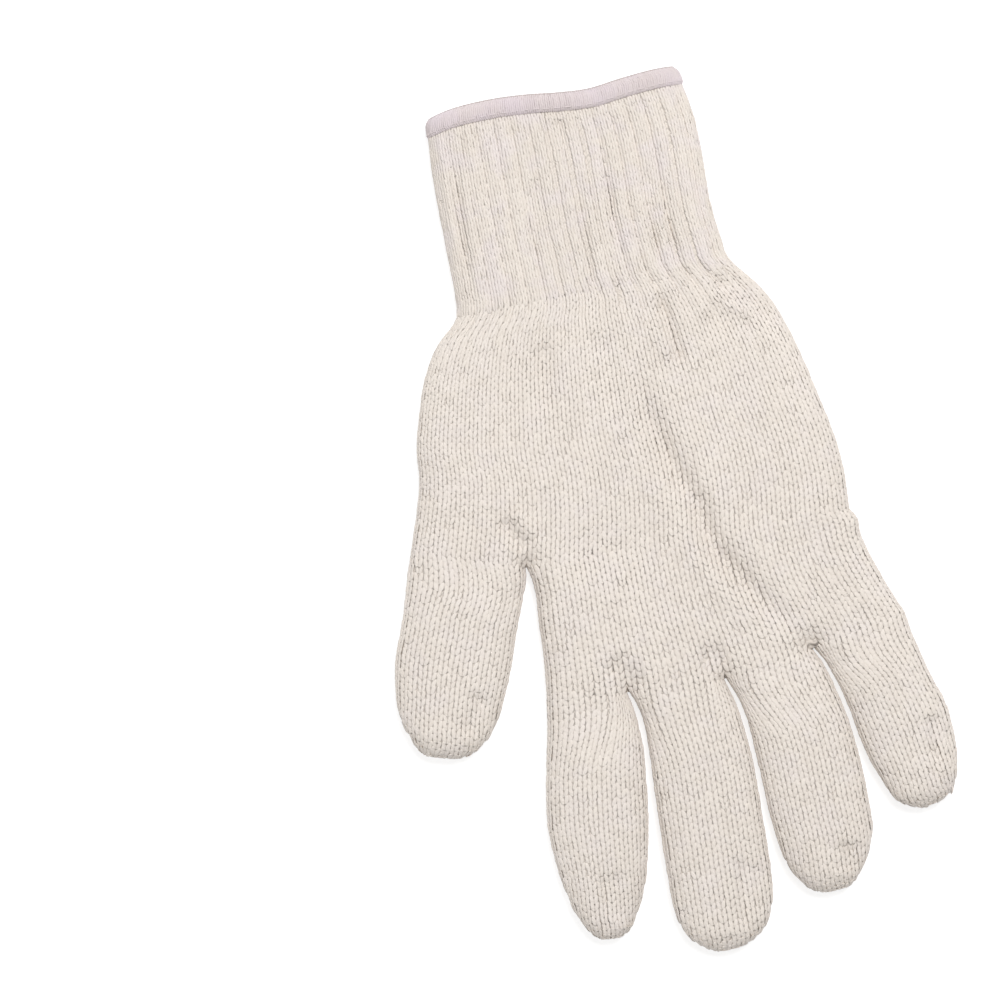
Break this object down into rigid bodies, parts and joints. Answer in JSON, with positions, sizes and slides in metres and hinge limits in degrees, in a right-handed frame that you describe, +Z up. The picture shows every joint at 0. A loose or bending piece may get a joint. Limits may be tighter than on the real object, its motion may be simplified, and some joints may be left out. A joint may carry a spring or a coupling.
{
  "type": "polyester work glove",
  "caption": "Seamless string-knit work glove laid flat, with four fingers, a thumb, a flared palm, a ribbed cuff and an overlocked hem; open at the cuff, and it fits either hand.",
  "frame": {"origin": "middle of the outline seen from above, on the surface that the glove lies on", "axes": "+X from the thumb to the little finger, +Y from the fingertips to the cuff, +Z up from the surface, out of the upper layer"},
  "size_m": [0.1562, 0.2532, 0.0118],
  "materials": {
    "knit_yarn": "undyed polyester and cotton string yarn, plain knit, matte with a slight fuzz",
    "cuff_yarn": "the same yarn knitted with elastic into a ribbed, gathered cuff",
    "hem_thread": "fine white overlock thread with a lilac cast, wrapped closely round the edge"
  },
  "bodies": {
    "root": {"index_finger": "knit_yarn", "middle_finger": "knit_yarn", "ring_finger": "knit_yarn", "little_finger": "knit_yarn", "thumb": "knit_yarn", "four_finger_palm": "knit_yarn", "five_finger_palm": "knit_yarn", "cuff": "cuff_yarn", "hem": "hem_thread"}
  },
  "joints": []
}
